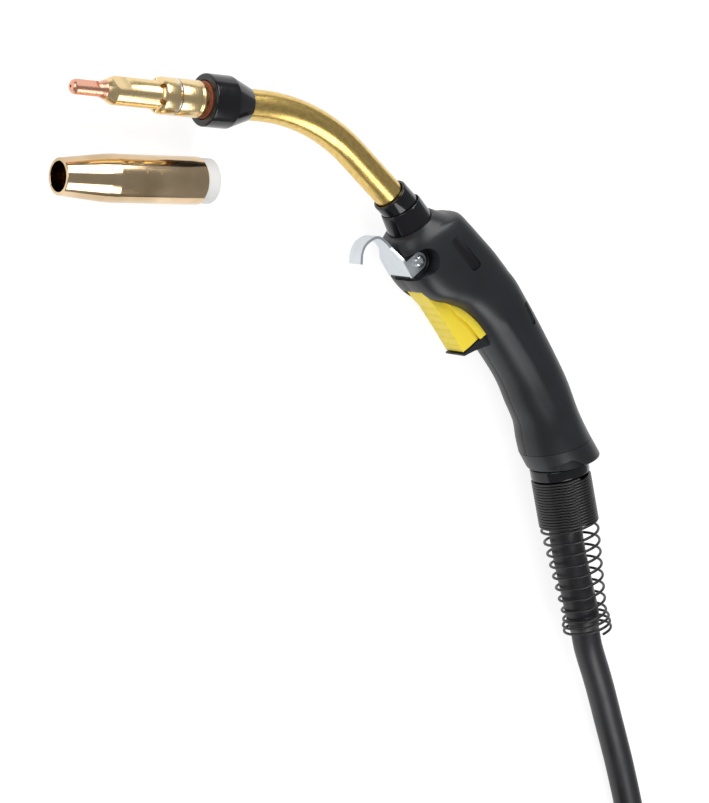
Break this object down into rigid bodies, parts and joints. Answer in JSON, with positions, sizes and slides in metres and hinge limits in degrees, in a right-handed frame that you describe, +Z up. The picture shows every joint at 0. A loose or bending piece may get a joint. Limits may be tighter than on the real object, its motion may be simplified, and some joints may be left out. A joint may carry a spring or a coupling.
{
  "type": "mig welding torch",
  "caption": "Gas-cooled MIG welding torch with swan neck, bare tip and diffuser, trigger handle, hook, spring cable support, coiled cable with plug, and a nozzle lying beside it.",
  "frame": {"origin": "centre of the footprint of the torch and its nozzle, without the free cable and its plug, on the surface it lies on", "axes": "+X from the contact tip towards the cable support, +Y across towards the head, +Z up from the surface"},
  "size_m": [0.4563, 0.692, 0.043],
  "materials": {
    "tip_copper": "satin copper, lightly oxidised",
    "diffuser_brass": "turned brass, satin",
    "neck_brass": "drawn brass tube, lightly polished",
    "nozzle_bronze": "mirror polished",
    "bright_steel": "bright zinc plated",
    "zinc_plate": "pale zinc plated sheet",
    "washer_fibre": "red-brown fibre",
    "white_insulation": "matt white",
    "moulded_black": "glossy moulded plastic",
    "handle_black": "satin moulded plastic",
    "trigger_yellow": "satin yellow plastic",
    "button_red": "satin red plastic",
    "spring_black": "gloss black coated wire",
    "cable_rubber": "smooth black rubber"
  },
  "bodies": {
    "torch": {"contact_tip": "tip_copper", "gas_diffuser": "diffuser_brass", "nozzle_retaining_ring": "bright_steel", "insulating_washer": "washer_fibre", "neck_insulator": "moulded_black", "gooseneck_jacket": "neck_brass", "gooseneck_conductor": "tip_copper", "gooseneck_insulation": "white_insulation", "wire_liner": "bright_steel", "neck_sleeve": "moulded_black", "neck_boot": "moulded_black", "handle_left_shell": "handle_black", "handle_right_shell": "handle_black", "handle_screws": "bright_steel", "label_plates": "handle_black", "handle_end_ring": "handle_black", "neck_block": "neck_brass", "conductor_hose": "cable_rubber", "cable_nut": "neck_brass", "hook": "zinc_plate", "hook_screws": "bright_steel", "trigger_housing": "trigger_yellow", "trigger_pin": "bright_steel", "trigger_switch": "moulded_black", "switch_screws": "bright_steel", "trigger_leads": "button_red", "support_nut": "moulded_black", "cable_support_spring": "spring_black", "cable_core": "cable_rubber", "cable_lead": "cable_rubber", "cable_coil": "cable_rubber", "cable_tail": "cable_rubber", "plug_boot": "cable_rubber", "plug_left_shell": "handle_black", "plug_right_shell": "handle_black", "plug_screws": "bright_steel", "plug_core": "diffuser_brass", "current_pin": "diffuser_brass", "plug_o_ring": "cable_rubber", "pin_sockets": "white_insulation", "wire_guide": "bright_steel"},
    "trigger": {"trigger_lever": "trigger_yellow"},
    "button": {"switch_button": "button_red"},
    "nozzle": {"nozzle_shell": "nozzle_bronze", "nozzle_insulator": "white_insulation"},
    "nut": {"adaptor_nut": "handle_black"},
    "pins": {"control_pins": "diffuser_brass"}
  },
  "joints": [
    {"name": "trigger_pull", "type": "hinge", "parent": "torch", "child": "trigger", "pos_m": [0.04129, 0.04599, 0.0215], "axis": [0, 0, 1], "range_deg": [0, 5], "stiffness_Nm_per_rad": 2, "springref_deg": -4.58},
    {"name": "switch_press", "type": "slide", "parent": "torch", "child": "button", "axis": [0.766, 0.6428, 0], "range_m": [0, 0.0022]},
    {"name": "nozzle_lift", "type": "slide", "parent": "torch", "child": "nozzle", "axis": [0, 0, 1], "range_m": [0, 0.15]},
    {"name": "adaptor_nut_spin", "type": "hinge", "parent": "torch", "child": "nut", "pos_m": [-0.08044, -0.51972, 0.021], "axis": [-1, 0, 0], "continuous": true},
    {"name": "control_pin_press", "type": "slide", "parent": "torch", "child": "pins", "axis": [1, 0, 0], "range_m": [0, 0.003], "stiffness_N_per_m": 400, "springref_m": -0.003}
  ],
  "couplings": [
    {"joint": "switch_press", "follows": "trigger_pull", "m_per_rad": 0.024}
  ]
}
